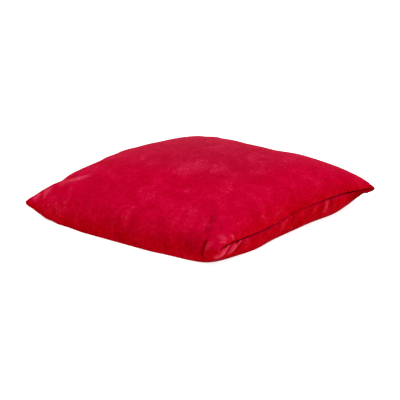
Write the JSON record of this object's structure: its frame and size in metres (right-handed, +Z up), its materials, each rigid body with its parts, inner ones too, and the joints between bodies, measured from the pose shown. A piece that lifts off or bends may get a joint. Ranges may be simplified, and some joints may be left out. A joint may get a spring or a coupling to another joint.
{
  "type": "throw cushion",
  "caption": "Square knife-edge velvet throw cushion, lying slumped on its flat underside, with a slip cover closed by a concealed zip round an inner bag of beads.",
  "frame": {"origin": "on the floor plane, under the middle of the cushion's bounding box", "axes": "+Z up; the seamed sides run along X and Y; the zip is on the +Y side; the front corner in the picture is at -X -Y"},
  "size_m": [0.41, 0.41, 0.1012],
  "materials": {
    "velvet": "crimson short pile velvet with a soft sheen",
    "thread": "crimson spun polyester sewing thread",
    "zip_tape": "crimson woven zip tape",
    "zip_coil": "crimson moulded filament coil",
    "zip_metal": "crimson lacquered die casting",
    "inner_cloth": "plain undyed cotton",
    "filling": "loose white foam beads"
  },
  "bodies": {
    "cushion": {"cover_top_panel": "velvet", "cover_bottom_panel": "velvet", "cover_seam_thread": "thread", "zip_tape_upper": "zip_tape", "zip_tape_lower": "zip_tape", "zip_coil_upper": "zip_coil", "zip_coil_lower": "zip_coil", "zip_stitching_upper": "thread", "zip_stitching_lower": "thread", "zip_top_stop_upper": "zip_metal", "zip_top_stop_lower": "zip_metal", "zip_bottom_stop": "zip_metal", "inner_bag_top_panel": "inner_cloth", "inner_bag_bottom_panel": "inner_cloth", "inner_bag_seam_thread": "thread", "bead_fill": "filling"},
    "slider": {"zip_slider": "zip_metal"},
    "pull_tab": {"zip_pull_tab": "zip_metal"}
  },
  "joints": [
    {"name": "zip_slide", "type": "slide", "parent": "cushion", "child": "slider", "axis": [1, 0, 0], "range_m": [0, 0.2864]},
    {"name": "pull_tab_hinge", "type": "hinge", "parent": "slider", "child": "pull_tab", "pos_m": [-0.1432, 0.1984, 0.0275], "axis": [0, 0, -1], "range_deg": [0, 180]}
  ]
}
